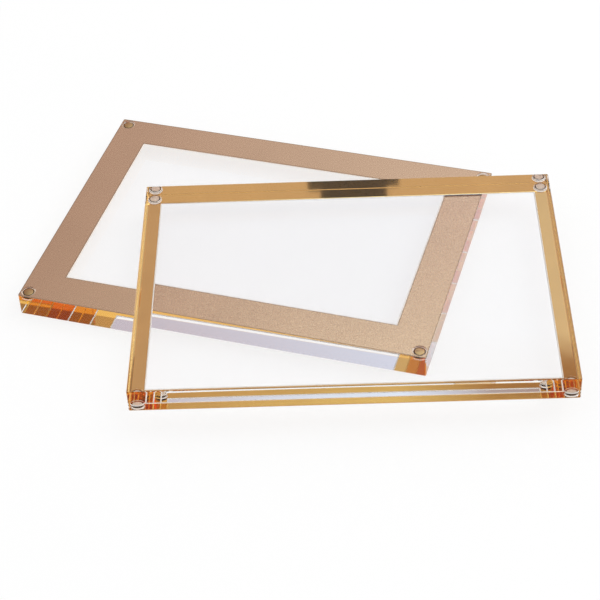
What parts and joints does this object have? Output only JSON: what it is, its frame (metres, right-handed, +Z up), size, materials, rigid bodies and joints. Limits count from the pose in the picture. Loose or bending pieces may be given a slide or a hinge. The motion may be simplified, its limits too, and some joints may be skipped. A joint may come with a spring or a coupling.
{
  "type": "magnetic acrylic photo frame",
  "caption": "Clear acrylic block photo frame in two magnetic halves with gold mirror borders, shown taken apart with the front half lying across the back half.",
  "frame": {"origin": "centre of the back half's outer face, which is its underside as it lies here", "axes": "+X along the back half's long edge, +Y from its near long edge to its far one, +Z up, out of its inner face"},
  "size_m": [0.2492, 0.1881, 0.0215],
  "materials": {
    "clear_acrylic": "polished clear cast acrylic",
    "back_gold_film": "gold film seen from its tan lacquered back, satin",
    "front_gold_film": "gold mirror film seen through the acrylic",
    "magnet": "nickel plated, dull",
    "clear_glue": "cured clear glue, slightly frosted"
  },
  "bodies": {
    "back_half": {"back_block": "clear_acrylic", "back_gold_border": "back_gold_film", "back_magnet_near_left": "magnet", "back_magnet_near_right": "magnet", "back_magnet_far_left": "magnet", "back_magnet_far_right": "magnet", "back_magnet_glue_near_left": "clear_glue", "back_magnet_glue_near_right": "clear_glue", "back_magnet_glue_far_left": "clear_glue", "back_magnet_glue_far_right": "clear_glue"},
    "front_half": {"front_block": "clear_acrylic", "front_gold_border": "front_gold_film", "front_magnet_near_left": "magnet", "front_magnet_near_right": "magnet", "front_magnet_far_left": "magnet", "front_magnet_far_right": "magnet", "front_magnet_glue_near_left": "clear_glue", "front_magnet_glue_near_right": "clear_glue", "front_magnet_glue_far_left": "clear_glue", "front_magnet_glue_far_right": "clear_glue"}
  },
  "joints": [
    {"name": "front_half_lift", "type": "slide", "parent": "back_half", "child": "front_half", "axis": [0, 0, 1], "range_m": [0, 0.1]}
  ]
}
